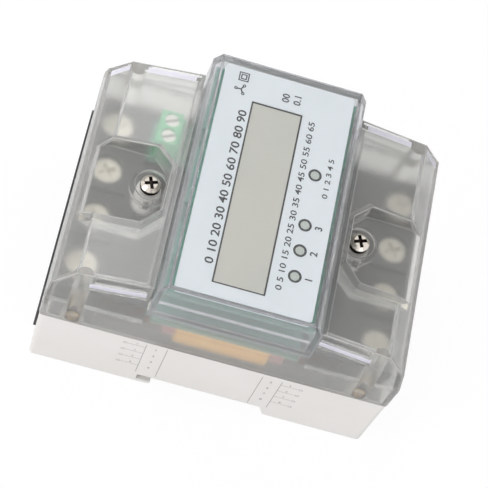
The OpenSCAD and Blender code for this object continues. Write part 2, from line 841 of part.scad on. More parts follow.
module terminal_screws(side) {
  head_h = 2.8;
  for (y = term_y) translate([side * term_x, y, cage_high + 0.2]) difference() {
    union() {
      translate([0, 0, -cage_top - 0.1]) cylinder(d = term_head_d - 3, h = cage_top + 1);
      cylinder(d = term_head_d, h = head_h);
    }
    for (turn = [0, 90]) rotate([0, 0, turn + 30])
      box([-2.6, -0.6, head_h - 1.6], [2.6, 0.6, head_h + 1]);
  }
}

module terminal_screws_left() { color([0.80, 0.78, 0.74]) terminal_screws(LEFT); }
module terminal_screws_right() { color([0.80, 0.78, 0.74]) terminal_screws(RIGHT); }

// Current path

module busbar(i) {
  color([0.80, 0.52, 0.34])
    box([-bar_half, term_y[i] - bar_w / 2, bar_z], [bar_half, term_y[i] + bar_w / 2, bar_z + bar_t]);
}

module busbar_1() { busbar(0); }
module busbar_2() { busbar(1); }
module busbar_3() { busbar(2); }
module busbar_neutral() { busbar(3); }

module current_transformer(i) {
  color([0.18, 0.30, 0.55]) translate([ct_x[i], term_y[i], ct_z]) rotate([0, 90, 0])
    rotate_extrude($fn = 64) translate([ct_bore / 2, -ct_w / 2]) {
      edge = 0.8;
      polygon([
        [0, edge / 2], [edge / 2, 0], [(ct_d - ct_bore) / 2 - edge, 0], [(ct_d - ct_bore) / 2, edge],
        [(ct_d - ct_bore) / 2, ct_w - edge], [(ct_d - ct_bore) / 2 - edge, ct_w], [edge / 2, ct_w],
        [0, ct_w - edge / 2]
      ]);
    }
}

module current_transformer_1() { current_transformer(0); }
module current_transformer_2() { current_transformer(1); }
module current_transformer_3() { current_transformer(2); }

// Fasteners

module cross_recess(depth) {
  recess_l = 0.66 * screw_head_d;
  for (turn = [0, 90]) rotate([0, 0, turn + 20])
    box([-recess_l / 2, -0.5, -depth], [recess_l / 2, 0.5, 1]);
}

module cover_screws() {
  crown = 1;
  color([0.80, 0.78, 0.74]) for (side = [LEFT, RIGHT])
    translate([side * screw_x, 0, z_pocket - sunk_h]) difference() {
      union() {
        cylinder(d = screw_head_d, h = screw_head_h - crown);
        translate([0, 0, screw_head_h - crown])
          cylinder(d1 = screw_head_d, d2 = screw_head_d - 2.2, h = crown);
        translate([0, 0, pillar_top - z_pocket + sunk_h - screw_bite])
          cylinder(d = shank_d, h = screw_bite + 0.5 + z_pocket - sunk_h - pillar_top);
      }
      translate([0, 0, screw_head_h]) cross_recess(1.4);
    }
}

module case_screws() {
  color([0.72, 0.72, 0.72]) for (x = [-1, 1], y = [-1, 1])
    translate([x * corner_x, y * corner_y, case_sink - case_head_h]) difference() {
      union() {
        cylinder(d = case_head_d, h = case_head_h);
        cylinder(d = shank_d, h = case_head_h + insert_low - case_sink + insert_l - 0.6);
      }
      mirror([0, 0, 1]) cross_recess(1.2);
    }
}

module case_inserts() {
  color([0.86, 0.68, 0.32]) for (x = [-1, 1], y = [-1, 1])
    translate([x * corner_x, y * corner_y, insert_low]) difference() {
      cylinder(d = insert_d, h = insert_l);
      translate([0, 0, -1]) cylinder(d = shank_d + 2 * shank_gap, h = insert_l + 2);
    }
}

// Rail clips

module rail_clip(y) {
  low = clip_play;
  high = clip_play + clip_t;
  mid = clip_channel / 2 + clip_play;
  tip = seat_half - clip_nose;
  back = half_w - 0.6;
  arm_x = seat_half + 9;
  arm_end = back - 9;
  slot = 1.3;
  color([0.93, 0.93, 0.92]) translate([0, y, 0]) difference() {
    union() {
      along_y(clip_w / 2) polygon([
        [tip + 1.4, low], [back, low], [back, high], [seat_half + 2, high],
        [seat_half + 2, low + 1.6], [tip, low + 1.6], [tip, low + 1.2]
      ]);
      box([seat_half + 3, -clip_w / 2 - 0.8, mid], [back, clip_w / 2 + 0.8, high]);
    }
    // slots that leave two springy arms
    for (side = [-1, 1]) {
      box([arm_x, side * (clip_w / 2 - 2.4) - slot / 2, -1],
          [arm_end, side * (clip_w / 2 - 2.4) + slot / 2, high + 1]);
      box([arm_x, side * (clip_w / 2 - 1.4) - 1, -1],
          [arm_x + slot, side * (clip_w / 2 - 1.4) + 2.6, high + 1]);
    }
    // screwdriver slot at the outer end
    box([back - 4.4, -3, -1], [back - 2.4, 3, high + 1]);
  }
}

module rail_clip_near() { rail_clip(-clip_y); }
module rail_clip_far() { rail_clip(clip_y); }

base_housing();
clear_cover();
window_cover();
front_panel();
lcd_glass();
lcd_frame();
display_board();
lamp_phase_1();
lamp_phase_2();
lamp_phase_3();
lamp_pulse();
main_board();
board_link();
metering_chip();
film_capacitor();
storage_capacitor();
varistor_left();
varistor_right();
pulse_connector();
pulse_connector_screws();
terminal_block_left();
terminal_block_right();
cage_left_1();
cage_left_2();
cage_left_3();
cage_left_4();
cage_right_1();
cage_right_2();
cage_right_3();
cage_right_4();
terminal_screws_left();
terminal_screws_right();
busbar_1();
busbar_2();
busbar_3();
busbar_neutral();
current_transformer_1();
current_transformer_2();
current_transformer_3();
cover_screws();
case_screws();
case_inserts();
rail_clip_near();
rail_clip_far();
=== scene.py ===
# Energy meter for a mounting rail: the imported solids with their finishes, print and light
import math

import bpy
import numpy as np
from mathutils import Matrix, Vector


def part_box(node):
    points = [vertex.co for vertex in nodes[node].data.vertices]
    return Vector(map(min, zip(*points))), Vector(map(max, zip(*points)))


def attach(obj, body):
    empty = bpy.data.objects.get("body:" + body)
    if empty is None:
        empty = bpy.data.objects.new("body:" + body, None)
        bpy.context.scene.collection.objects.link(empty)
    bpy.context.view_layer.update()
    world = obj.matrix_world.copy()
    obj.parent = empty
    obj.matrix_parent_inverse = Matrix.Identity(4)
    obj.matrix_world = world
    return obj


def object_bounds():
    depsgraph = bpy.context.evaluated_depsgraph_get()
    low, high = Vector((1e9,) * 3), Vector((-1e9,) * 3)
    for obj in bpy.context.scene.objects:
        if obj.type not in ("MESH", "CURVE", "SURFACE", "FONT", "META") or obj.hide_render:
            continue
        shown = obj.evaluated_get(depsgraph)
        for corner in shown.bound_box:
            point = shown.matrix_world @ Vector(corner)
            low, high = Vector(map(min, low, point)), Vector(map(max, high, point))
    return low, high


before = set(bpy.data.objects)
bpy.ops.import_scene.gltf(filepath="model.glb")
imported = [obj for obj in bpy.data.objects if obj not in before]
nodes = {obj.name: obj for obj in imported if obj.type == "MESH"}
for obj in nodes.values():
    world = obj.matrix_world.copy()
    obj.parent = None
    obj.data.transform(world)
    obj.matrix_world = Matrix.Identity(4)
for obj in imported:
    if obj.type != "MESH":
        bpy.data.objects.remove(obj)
cadLow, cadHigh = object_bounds()
mm = 0.001
print("frame loaded,", len(nodes), "solids")

# fitted to the corners and edges in the photo
camera = {
    "place": (-52.2, -232.1, 469.8),  # in mm
    "right": (0.95826, 0.18865, 0.21484),
    "up": (-0.26555, 0.86576, 0.4242),
    "lens": 129.3,
    "sensor": 36.0,
    "clip": (0.01, 20.0),  # in m
}


def makeCamera(facts):
    data = bpy.data.cameras.new("photoCamera")
    data.lens = facts["lens"]
    data.sensor_width = facts["sensor"]
    data.clip_start, data.clip_end = facts["clip"]
    holder = bpy.data.objects.new("photoCamera", data)
    right = Vector(facts["right"]).normalized()
    back = right.cross(Vector(facts["up"])).normalized()
    up = back.cross(right)
    turn = Matrix((right, up, back)).transposed()
    holder.matrix_world = Matrix.Translation(Vector(facts["place"]) * mm) @ turn.to_4x4()
    bpy.context.scene.collection.objects.link(holder)
    bpy.context.scene.camera = holder


makeCamera(camera)
bpy.context.scene.view_settings.view_transform = "Standard"

# what several of the finishes share
shading = {
    "bevelSamples": 4,
    "grainDepth": 0.00005,  # in m
    "toneSpread": (0.35, 0.65),  # part of the noise over which one tone turns into the other
    "glossSpread": (0.3, 0.7),
    # below these depths under a screw's top, its recess or slot is painted dark as shade
    "coverScrewRecessShade": 0.95,  # in mm below the screw's top: what lies deeper is dark
    "smallScrewSlotShade": 0.35,
    "windowBand": 63.4,  # height in mm: the window is clear above it and a little cloudy below
}


# a colour given as 0 to 255 values of a screen, turned into linear light by the sRGB curve
def screenColour(red, green, blue):
    share = np.array([red, green, blue]) / 255.0
    linear = np.where(share <= 0.04045, share / 12.92, ((share + 0.055) / 1.055) ** 2.4)
    return (*[float(v) for v in linear], 1.0)


class Finish:
    # one material with a Principled shader, and helpers that hang nodes on it
    def __init__(self, name, colour, roughness, sockets=None):
        self.material = bpy.data.materials.new(name)
        self.material.use_nodes = True
        self.tree = self.material.node_tree
        self.shader = self.tree.nodes["Principled BSDF"]
        self.shader.inputs["Base Color"].default_value = colour
        self.shader.inputs["Roughness"].default_value = roughness
        for socket, value in (sockets or {}).items():
            self.shader.inputs[socket].default_value = value
        self.normal = None

    def node(self, kind, sockets=None):
        made = self.tree.nodes.new(kind)
        for socket, value in (sockets or {}).items():
            made.inputs[socket].default_value = value
        return made

    def link(self, start, end):
        self.tree.links.new(start, end)

    def noise(self, scale, detail=3.0):
        where = self.node("ShaderNodeTexCoord")
        cloud = self.node("ShaderNodeTexNoise", {"Scale": scale, "Detail": detail})
        self.link(where.outputs["Object"], cloud.inputs["Vector"])
        return cloud.outputs["Fac"]

    # a value that turns from first to second between two places on an axis, in mm
    # mirrored, it goes by the distance from the middle and is the same on both sides
    def step(self, axis, low, high, first, second, mirrored=False):
        where = self.node("ShaderNodeTexCoord")
        split = self.node("ShaderNodeSeparateXYZ")
        self.link(where.outputs["Object"], split.inputs[0])
        place = split.outputs[axis]
        if mirrored:
            distance = self.node("ShaderNodeMath")
            distance.operation = "ABSOLUTE"
            self.link(place, distance.inputs[0])
            place = distance.outputs[0]
        ends = {"From Min": low * mm, "From Max": high * mm, "To Min": first, "To Max": second}
        spread = self.node("ShaderNodeMapRange", ends)
        self.link(place, spread.inputs["Value"])
        return spread.outputs["Result"]

    # a value that turns from below to above within the given width round a height, in mm
    def atHeight(self, height, below, above, width=1.0):
        return self.step("Z", height - width / 2, height + width / 2, below, above)

    # softens sharp edges in the shading
    def roundEdges(self, radius):
        bevel = self.node("ShaderNodeBevel", {"Radius": radius})
        bevel.samples = shading["bevelSamples"]
        self.normal = bevel.outputs["Normal"]
        self.link(self.normal, self.shader.inputs["Normal"])
        return self

    # fine grain as a bump
    def grain(self, scale, strength):
        bump = self.node("ShaderNodeBump", {"Strength": strength, "Distance": shading["grainDepth"]})
        self.link(self.noise(scale), bump.inputs["Height"])
        if self.normal is not None:
            self.link(self.normal, bump.inputs["Normal"])
        self.normal = bump.outputs["Normal"]
        self.link(self.normal, self.shader.inputs["Normal"])
        return self

    # the colour wanders a little between two tones
    def tones(self, first, second, scale):
        ramp = self.node("ShaderNodeValToRGB")
        for stop, place, colour in zip(ramp.color_ramp.elements, shading["toneSpread"], (first, second)):
            stop.position = place
            stop.color = colour
        self.link(self.noise(scale, detail=2.0), ramp.inputs["Fac"])
        self.link(ramp.outputs["Color"], self.shader.inputs["Base Color"])
        return self

    # the gloss wanders between two roughness values
    def gloss(self, low, high, scale):
        start, end = shading["glossSpread"]
        ends = {"From Min": start, "From Max": end, "To Min": low, "To Max": high}
        spread = self.node("ShaderNodeMapRange", ends)
        self.link(self.noise(scale), spread.inputs["Value"])
        self.link(spread.outputs["Result"], self.shader.inputs["Roughness"])
        return self

    # lets a share of the lamps' light fall straight through, so that what lies inside is lit
    def lightThrough(self, share):
        path = self.node("ShaderNodeLightPath")
        kept = self.node("ShaderNodeMath")  # 1 less the share, for a ray that goes to a lamp
        kept.operation = "MULTIPLY_ADD"
        kept.inputs[1].default_value = -share
        kept.inputs[2].default_value = 1.0
        self.link(path.outputs["Is Shadow Ray"], kept.inputs[0])
        self.link(kept.outputs[0], self.shader.inputs["Alpha"])
        return self

    # cloudier beyond the given distance from the middle, along the rail
    def cloudyEnds(self, distance, width, middle, ends):
        clear = self.step("Y", distance, distance + width, middle, ends, mirrored=True)
        self.link(clear, self.shader.inputs["Transmission Weight"])
        return self

    # roughness and transmission change at the given height: each pair is the value below and above it
    def frostBelow(self, height, roughness, transmission):
        self.link(self.atHeight(height, *roughness), self.shader.inputs["Roughness"])
        self.link(self.atHeight(height, *transmission), self.shader.inputs["Transmission Weight"])
        return self

    # one tone below the given height and another above it, as for the painted shade deep in a screw's recess
    def toneBelow(self, height, lower, upper, width=0.2):
        ramp = self.node("ShaderNodeValToRGB")
        ramp.color_ramp.elements[0].color = lower
        ramp.color_ramp.elements[1].color = upper
        self.link(self.atHeight(height, 0.0, 1.0, width), ramp.inputs["Fac"])
        self.link(ramp.outputs["Color"], self.shader.inputs["Base Color"])
        return self

    def on(self, *names):
        for name in names:
            mesh = nodes[name].data
            mesh.materials.clear()
            mesh.materials.append(self.material)
        return self


def makeFinishes():
    made = {}
    made["base"] = (
        Finish("warmWhitePlastic", screenColour(232, 229, 226), 0.48, {"IOR": 1.47})
        .roundEdges(radius=0.00035)
        .grain(scale=2600, strength=0.25)
        .tones(screenColour(231, 228, 225), screenColour(234, 231, 229), scale=60)
        .on("base_housing")
    )
    made["cover"] = (
        Finish("frostedPlastic", screenColour(238, 238, 236), 0.26, {"IOR": 1.32, "Transmission Weight": 0.88})
        .roundEdges(radius=0.0004)
        .gloss(low=0.25, high=0.268, scale=90)
        .cloudyEnds(distance=33.0, width=0.8, middle=0.88, ends=0.84)
        .lightThrough(0.96)
        .on("clear_cover")
    )
    made["window"] = (
        Finish("clearPlastic", screenColour(243, 243, 243), 0.03, {"IOR": 1.25, "Transmission Weight": 1.0})
        .toneBelow(shading["windowBand"], screenColour(232, 233, 235), screenColour(243, 243, 243), width=1.0)
        .roundEdges(radius=0.0003)
        .frostBelow(shading["windowBand"], roughness=(0.16, 0.03), transmission=(0.84, 1.0))
        .lightThrough(0.96)
        .on("window_cover")
    )
    made["panel"] = (
        Finish("panelPlastic", screenColour(213, 220, 224), 0.5)
        .grain(scale=3000, strength=0.12)
        .tones(screenColour(212, 219, 223), screenColour(215, 221, 225), scale=40)
        .on("front_panel")
    )
    made["display"] = (
        Finish("displayGlass", screenColour(188, 188, 178), 0.25, {"Coat Weight": 0.2, "Coat Roughness": 0.1})
        .tones(screenColour(185, 186, 176), screenColour(190, 188, 179), scale=30)
        .on("lcd_glass")
    )
    made["displayFrame"] = (
        Finish("blackFrame", screenColour(14, 15, 16), 0.5)
        .grain(scale=2500, strength=0.2)
        .on("lcd_frame")
    )
    made["board"] = (
        Finish("greenBoard", screenColour(66, 128, 108), 0.3, {"Coat Weight": 0.3, "Coat Roughness": 0.15})
        .tones(screenColour(60, 120, 102), screenColour(76, 138, 118), scale=900)
        .on("display_board", "main_board")
    )
    made["lamp"] = (
        Finish("lampLens", screenColour(196, 204, 197), 0.25, {"IOR": 1.4, "Transmission Weight": 0.2})
        .grain(scale=1500, strength=0.1)
        .on("lamp_phase_1", "lamp_phase_2", "lamp_phase_3", "lamp_pulse")
    )
    made["header"] = (
        Finish("blackHeader", screenColour(34, 34, 36), 0.45)
        .grain(scale=2400, strength=0.25)
        .on("board_link")
    )
    made["chip"] = (
        Finish("chipMoulding", screenColour(40, 40, 42), 0.6)
        .grain(scale=4000, strength=0.4)
        .on("metering_chip")
    )
    made["filmCapacitor"] = (
        Finish("yellowBox", screenColour(255, 190, 60), 0.42)
        .grain(scale=1800, strength=0.2)
        .tones(screenColour(253, 186, 56), screenColour(255, 194, 68), scale=120)
        .on("film_capacitor")
    )
    made["storageCapacitor"] = (
        Finish("darkSleeve", screenColour(44, 48, 62), 0.3, {"Coat Weight": 0.4})
        .gloss(low=0.25, high=0.4, scale=300)
        .on("storage_capacitor")
    )
    made["varistor"] = (
        Finish("redDip", screenColour(196, 110, 108), 0.3, {"Coat Weight": 0.3})
        .grain(scale=700, strength=0.25)
        .on("varistor_left", "varistor_right")
    )
    made["connector"] = (
        Finish("greenConnector", screenColour(84, 180, 128), 0.42)
        .grain(scale=2200, strength=0.2)
        .tones(screenColour(80, 175, 123), screenColour(89, 186, 134), scale=200)
        .on("pulse_connector")
    )
    made["block"] = (
        Finish("blackBlock", screenColour(46, 46, 48), 0.55)
        .roundEdges(radius=0.0003)
        .grain(scale=2200, strength=0.3)
        .on("terminal_block_left", "terminal_block_right")
    )
    made["cage"] = (
        Finish("tinnedBrass", screenColour(196, 190, 172), 0.32, {"Metallic": 1.0})
        .gloss(low=0.26, high=0.42, scale=900)
        .on(*[f"cage_{side}_{i}" for side in ("left", "right") for i in (1, 2, 3, 4)])
    )
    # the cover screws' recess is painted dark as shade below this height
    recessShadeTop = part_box("cover_screws")[1][2] / mm - shading["coverScrewRecessShade"]
    made["nickel"] = (
        Finish("nickelScrew", screenColour(222, 215, 206), 0.2, {"Metallic": 1.0})
        .roundEdges(radius=0.00012)
        .gloss(low=0.12, high=0.24, scale=1200)
        .toneBelow(recessShadeTop, screenColour(40, 36, 34), screenColour(222, 215, 206))
        .on("cover_screws")
    )
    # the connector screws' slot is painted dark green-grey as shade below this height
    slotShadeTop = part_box("pulse_connector_screws")[1][2] / mm - shading["smallScrewSlotShade"]
    made["smallScrew"] = (
        Finish("platedSmallScrew", screenColour(236, 234, 228), 0.34, {"Metallic": 0.6})
        .gloss(low=0.28, high=0.4, scale=1200)
        .toneBelow(slotShadeTop, screenColour(110, 128, 116), screenColour(226, 225, 220))
        .on("pulse_connector_screws")
    )
    made["terminalScrew"] = (
        Finish("platedTerminalScrew", screenColour(222, 216, 203), 0.4, {"Metallic": 0.6})
        .roundEdges(radius=0.00025)
        .gloss(low=0.3, high=0.45, scale=900)
        .on("terminal_screws_left", "terminal_screws_right")
    )
    made["zinc"] = (
        Finish("zincScrew", screenColour(206, 206, 208), 0.32, {"Metallic": 1.0})
        .gloss(low=0.25, high=0.4, scale=1000)
        .on("case_screws")
    )
    made["copper"] = (
        Finish("copperBar", screenColour(214, 150, 112), 0.32, {"Metallic": 1.0})
        .gloss(low=0.25, high=0.42, scale=600)
        .on("busbar_1", "busbar_2", "busbar_3", "busbar_neutral")
    )
    made["transformer"] = (
        Finish("blueMoulding", screenColour(60, 92, 150), 0.35)
        .grain(scale=1600, strength=0.2)
        .on("current_transformer_1", "current_transformer_2", "current_transformer_3")
    )
    made["brass"] = (
        Finish("brassInsert", screenColour(236, 206, 140), 0.3, {"Metallic": 0.5})
        .gloss(low=0.2, high=0.36, scale=1500)
        .on("case_inserts")
    )
    made["clip"] = (
        Finish("whiteClip", screenColour(238, 238, 236), 0.42)
        .roundEdges(radius=0.0003)
        .grain(scale=2400, strength=0.2)
        .on("rail_clip_near", "rail_clip_far")
    )
    # pale, partly clear plastic for the beads along the edges: painted highlights
    made["edge"] = (
        Finish("paintedEdgeHighlight", screenColour(222, 221, 220), 0.25, {"IOR": 1.25, "Transmission Weight": 0.5})
        .grain(scale=900, strength=0.1)
        .lightThrough(0.8)
    )
    made["windowEdge"] = (
        Finish("paintedWindowEdgeHighlight", screenColour(204, 202, 210), 0.22, {"IOR": 1.2, "Transmission Weight": 0.6})
        .grain(scale=900, strength=0.1)
        .lightThrough(0.8)
    )
    # pale sheets for the painted highlights in the end walls' recesses and under the far end of the wings
    made["groove"] = (
        Finish("grooveSheen", screenColour(228, 226, 239), 0.35, {"IOR": 1.2, "Transmission Weight": 0.1})
        .grain(scale=600, strength=0.1)
        .lightThrough(0.8)
    )
    made["ink"] = Finish("greyInk", screenColour(22, 24, 26), 0.6).grain(scale=3000, strength=0.1)
    made["fineInk"] = Finish("paleInk", screenColour(132, 130, 128), 0.6).grain(scale=3000, strength=0.1)
    return made


finishes = makeFinishes()
print("finishes made:", len(finishes))


# a mesh from arrays of points in mm and triangles, riding on the case
def makePiece(name, points, triangles, finish):
    mesh = bpy.data.meshes.new(name)
    points = np.asarray(points, dtype=np.float32) * mm
    triangles = np.asarray(triangles, dtype=np.int32)
    mesh.vertices.add(len(points))
    mesh.vertices.foreach_set("co", points.ravel())
    mesh.loops.add(triangles.size)
    mesh.loops.foreach_set("vertex_index", triangles.ravel())
    mesh.polygons.add(len(triangles))
    mesh.polygons.foreach_set("loop_start", np.arange(0, triangles.size, 3, dtype=np.int32))
    mesh.polygons.foreach_set("loop_total", np.full(len(triangles), 3, dtype=np.int32))
    mesh.update(calc_edges=True)
    mesh.validate()
    mesh.materials.append(finish.material)
    piece = bpy.data.objects.new(name, mesh)
    bpy.context.scene.collection.objects.link(piece)
    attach(piece, "case")


class Gathered:
    # joins many small surfaces into one piece
    def __init__(self):
        self.points = []
        self.triangles = []
        self.count = 0

    def join(self, points, triangles):
        self.points.append(np.asarray(points, dtype=float))
        self.triangles.append(np.asarray(triangles) + self.count)
        self.count += len(points)

    def make(self, name, finish, slotName):
        makePiece(name, np.vstack(self.points), np.vstack(self.triangles), finish)


# a circle of radius 1 as rows of (cos a, sin a), with a in equal steps from the given turn
def circle(corners, turn=0.0):
    angle = np.arange(corners) * 2 * math.pi / corners + turn
    return np.column_stack([np.cos(angle), np.sin(angle)])


lettering = {
    "share": 0.7,  # a figure's height as a share of its font's size
    "curveSteps": 3,
}


class Print(Gathered):
    # flat shapes on one plane: u runs along the reading direction, v towards the tops of the figures
    def __init__(self, origin, along, upward):
        super().__init__()
        self.origin = np.array(origin, dtype=float)
        self.along = np.array(along, dtype=float)
        self.upward = np.array(upward, dtype=float)

    # each point is the origin plus u times the reading direction plus v times the upward one
    def add(self, flat, triangles):
        flat = np.asarray(flat, dtype=float)
        self.join(self.origin + flat[:, :1] * self.along + flat[:, 1:2] * self.upward, triangles)

    # a straight stroke: its two ends moved sideways by half the width
    def stroke(self, start, end, width):
        start, end = np.array(start, dtype=float), np.array(end, dtype=float)
        run = (end - start) / np.linalg.norm(end - start)
        side = np.array([-run[1], run[0]]) * width / 2
        self.add([start - side, end - side, end + side, start + side], [[0, 1, 2], [0, 2, 3]])

    # a closed ring: the same outline at two sizes, joined by a strip
    def ring(self, centre, inner, outer, corners=40, turn=0.0):
        rim = circle(corners, turn)
        k = np.arange(corners)
        n = (k + 1) % corners
        strip = [np.column_stack([k, k + corners, n + corners]), np.column_stack([k, n + corners, n])]
        self.add(np.vstack([rim * inner, rim * outer]) + np.array(centre), np.vstack(strip))

    # figures from Blender's own font, made a mesh, set about their middle and drawn out to a length
    def figures(self, words, centre, height, length=None, bold=0.0):
        curve = bpy.data.curves.new("figures", "FONT")
        curve.body = words
        curve.size = height / lettering["share"]
        curve.offset = bold
        curve.resolution_u = lettering["curveSteps"]
        holder = bpy.data.objects.new("figures", curve)
        bpy.context.scene.collection.objects.link(holder)
        mesh = bpy.data.meshes.new_from_object(holder.evaluated_get(bpy.context.evaluated_depsgraph_get()))
        flat = np.empty(len(mesh.vertices) * 3, dtype=np.float32)
        mesh.vertices.foreach_get("co", flat)
        flat = flat.reshape(-1, 3)[:, :2].astype(float)
        mesh.calc_loop_triangles()
        triangles = np.empty(len(mesh.loop_triangles) * 3, dtype=np.int32)
        mesh.loop_triangles.foreach_get("vertices", triangles)
        bpy.data.objects.remove(holder)
        bpy.data.curves.remove(curve)
        bpy.data.meshes.remove(mesh)
        low, high = flat.min(axis=0), flat.max(axis=0)
        flat -= (low + high) / 2
        if length is not None:
            flat[:, 0] *= length / (high[0] - low[0])
        self.add(flat + np.array(centre), triangles.reshape(-1, 3))


# all in mm; the panel reads from the near end to the far end, with the tops of its figures to the left
panelMarks = {
    "lift": 0.03,  # height of the ink above the panel
    "longScale": (-11.4, -2.3, 48.0, 2.3, "0 10 20 30 40 50 60 70 80 90"),  # x, y, length, height, figures
    "fineScale": (8.0, -2.2, 52.5, 1.7, "0 5 10 15 20 25 30 35 40 45 50 55 60 65"),
    "pulseScale": (15.4, 8.0, 12.5, 1.5, "0 1 2 3 4 5"),
    "lampFigures": [(15.5, -23.3, "1"), (15.5, -15.5, "2"), (15.5, -7.7, "3")],
    "endFigures": [(-0.5, 29.3, "00"), (2.8, 29.4, "0.1")],
    "figure": 2.0,  # height of the lamps' and the end figures
    "bold": 0.06,
    "thinShare": 0.6,  # of bold, for the two smaller scales
    "lamps": ["lamp_phase_1", "lamp_phase_2", "lamp_phase_3", "lamp_pulse"],
    "lampRing": (1.25, 1.88),  # inner and outer radius
    "squares": (-13.1, 32.2),
    "squareHalves": (0.52, 1.12),
    "squareLine": 0.34,
    "star": (-13.2, 28.1),
    "armTurns": (90, 210, 330),  # in degrees
    "armLength": 1.15,
    "armWidth": 0.4,
    "armEnd": 1.45,  # distance of the small ring at the arm's end
    "armRing": (0.18, 0.5),
    "armCorners": 16,
}


# scales and figures, a ring round each lamp, two nested squares and a star with three arms
def printPanel(facts):
    origin = (0, 0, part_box("front_panel")[1][2] / mm + facts["lift"])
    ink = Print(origin, (0, 1, 0), (-1, 0, 0))
    fine = Print(origin, (0, 1, 0), (-1, 0, 0))
    bold = facts["bold"]
    thin = bold * facts["thinShare"]
    scales = [(ink, "longScale", bold), (fine, "fineScale", thin), (ink, "pulseScale", thin)]
    for layer, scale, weight in scales:
        x, y, length, height, words = facts[scale]
        layer.figures(words, (y, -x), height, length, weight)
    for x, y, words in facts["lampFigures"] + facts["endFigures"]:
        ink.figures(words, (y, -x), facts["figure"], bold=bold)
    for name in facts["lamps"]:
        low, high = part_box(name)
        middle = (np.array(low) + np.array(high)) / 2 / mm
        ink.ring((middle[1], -middle[0]), *facts["lampRing"])
    x, y = facts["squares"]
    corner = math.sqrt(2)  # from a square's half side to its corner
    for half in facts["squareHalves"]:
        outer = half + facts["squareLine"]
        ink.ring((y, -x), half * corner, outer * corner, corners=4, turn=math.pi / 4)
    x, y = facts["star"]
    middle = np.array([y, -x])
    for turn in facts["armTurns"]:
        way = np.array([math.cos(math.radians(turn)), math.sin(math.radians(turn))])
        ink.stroke(middle, middle + way * facts["armLength"], facts["armWidth"])
        ink.ring(middle + way * facts["armEnd"], *facts["armRing"], corners=facts["armCorners"])
    ink.make("panelPrint", finishes["ink"], "display_frame")
    fine.make("panelFinePrint", finishes["ink"], "display_frame")


printPanel(panelMarks)

# all in mm: on each side two upright lines, and rows that run outwards from the outer one
wiringMarks = {
    "lift": 0.02,
    "line": 0.14,
    "left": {
        "lines": (-19.2, -13.3),
        "top": 26.8,
        "bottom": 6.4,
        "rows": (24.6, 20.2, 15.8, 11.4),
        "outward": -1,
    },
    "right": {
        "lines": (20.1, 14.4),
        "top": 26.0,
        "bottom": 5.6,
        "rows": (23.8, 19.4, 15.0, 10.6),
        "outward": 1,
    },
    "rowLength": 5.2,
    "endGap": 0.7,  # from a row's end to the middle of its ring
    "endRing": (0.42, 0.56),
    "endCorners": 20,
    "figure": 1.2,
    "rowFigure": (2.6, 1.1, 0.8),  # along the row, above it, and the share of the figure's height
}


# the lines as strokes, with a ring at each row's end and the row's number on it and between the upright lines
def printWiring(facts):
    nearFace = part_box("base_housing")[0][1] / mm
    ink = Print((0, nearFace - facts["lift"], 0), (1, 0, 0), (0, 0, 1))
    along, above, share = facts["rowFigure"]
    number = 1
    for side in ("left", "right"):
        part = facts[side]
        outer, inner = part["lines"]
        out = part["outward"]
        for x in (outer, inner):
            ink.stroke((x, part["bottom"]), (x, part["top"]), facts["line"])
        for z in part["rows"]:
            end = outer + out * facts["rowLength"]
            ink.stroke((outer, z), (end, z), facts["line"])
            ink.ring((end + out * facts["endGap"], z), *facts["endRing"], corners=facts["endCorners"])
            ink.figures(str(number), ((outer + inner) / 2, z), facts["figure"])
            ink.figures(str(number), (outer + out * along, z + above), facts["figure"] * share)
            number += 1
    ink.make("wiringPrint", finishes["fineInk"], "display_frame")


printWiring(wiringMarks)
print("print laid on the panel and the near side")


# each row as a direction of length 1
def unit(rows):
    return rows / np.linalg.norm(rows, axis=1, keepdims=True)


# pale beads laid along edges as painted highlights, where the moulded edges catch light
class Edges(Gathered):
    # a small circle carried along a path: each ring is the path's point plus radius times
    # (cos a times first plus sin a times second), where both directions stand across the path
    def bead(self, path, radius, closed=False, sides=8):
        path = np.asarray(path, dtype=float)
        if closed:
            ahead, behind = np.roll(path, -1, axis=0) - path, path - np.roll(path, 1, axis=0)
        else:
            steps = np.diff(path, axis=0)
            ahead, behind = np.vstack([steps, steps[-1:]]), np.vstack([steps[:1], steps])
        way = unit(unit(ahead) + unit(behind))
        steep = abs(way[:, 2]).max() >= 0.9
        aside = np.array([1.0, 0.13, 0.02] if steep else [0.03, 0.02, 1.0])  # no path runs this way
        first = unit(np.cross(way, aside))
        second = np.cross(way, first)
        turn = circle(sides)
        rings = path[:, None, :] + radius * (
            turn[None, :, :1] * first[:, None, :] + turn[None, :, 1:] * second[:, None, :]
        )
        count = len(path)
        i, j = np.meshgrid(np.arange(count if closed else count - 1), np.arange(sides), indexing="ij")
        i, j = i.ravel(), j.ravel()
        nextI, nextJ = (i + 1) % count, (j + 1) % sides
        a, b, c, d = i * sides + j, i * sides + nextJ, nextI * sides + nextJ, nextI * sides + j
        triangles = [np.column_stack([a, b, c]), np.column_stack([a, c, d])]
        if not closed:
            k = np.arange(1, sides - 1)
            last = (count - 1) * sides
            triangles.append(np.column_stack([0 * k, k + 1, k]))
            triangles.append(np.column_stack([0 * k + last, last + k, last + k + 1]))
        self.join(rings.reshape(-1, 3), np.vstack(triangles))

    # the same bead on the right and, mirrored, on the left
    def pair(self, path, radius, closed=False):
        path = np.asarray(path, dtype=float)
        self.bead(path, radius, closed)
        self.bead(path * (-1, 1, 1), radius, closed)


